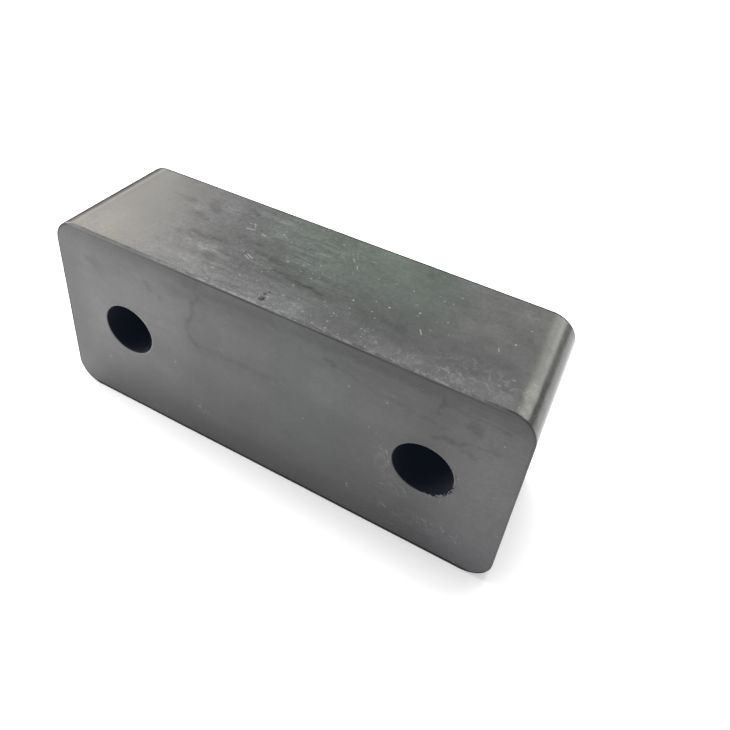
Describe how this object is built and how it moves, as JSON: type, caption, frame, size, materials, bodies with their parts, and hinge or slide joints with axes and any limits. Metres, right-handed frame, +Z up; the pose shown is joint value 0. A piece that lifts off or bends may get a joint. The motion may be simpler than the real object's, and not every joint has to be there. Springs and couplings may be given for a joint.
{
  "type": "rubber bumper",
  "caption": "Solid black rubber bumper block with rounded corners and plain through holes for its fixing bolts.",
  "frame": {"origin": "middle of the long side that the block stands on", "axes": "+X along the length, +Y from the bumping face to the mounting face, +Z up across the width of the big faces"},
  "size_m": [0.1142, 0.0318, 0.0508],
  "materials": {
    "black_rubber": "matte moulded black rubber, greyed by handling and dust"
  },
  "bodies": {
    "root": {"bumper_block": "black_rubber"}
  },
  "joints": []
}
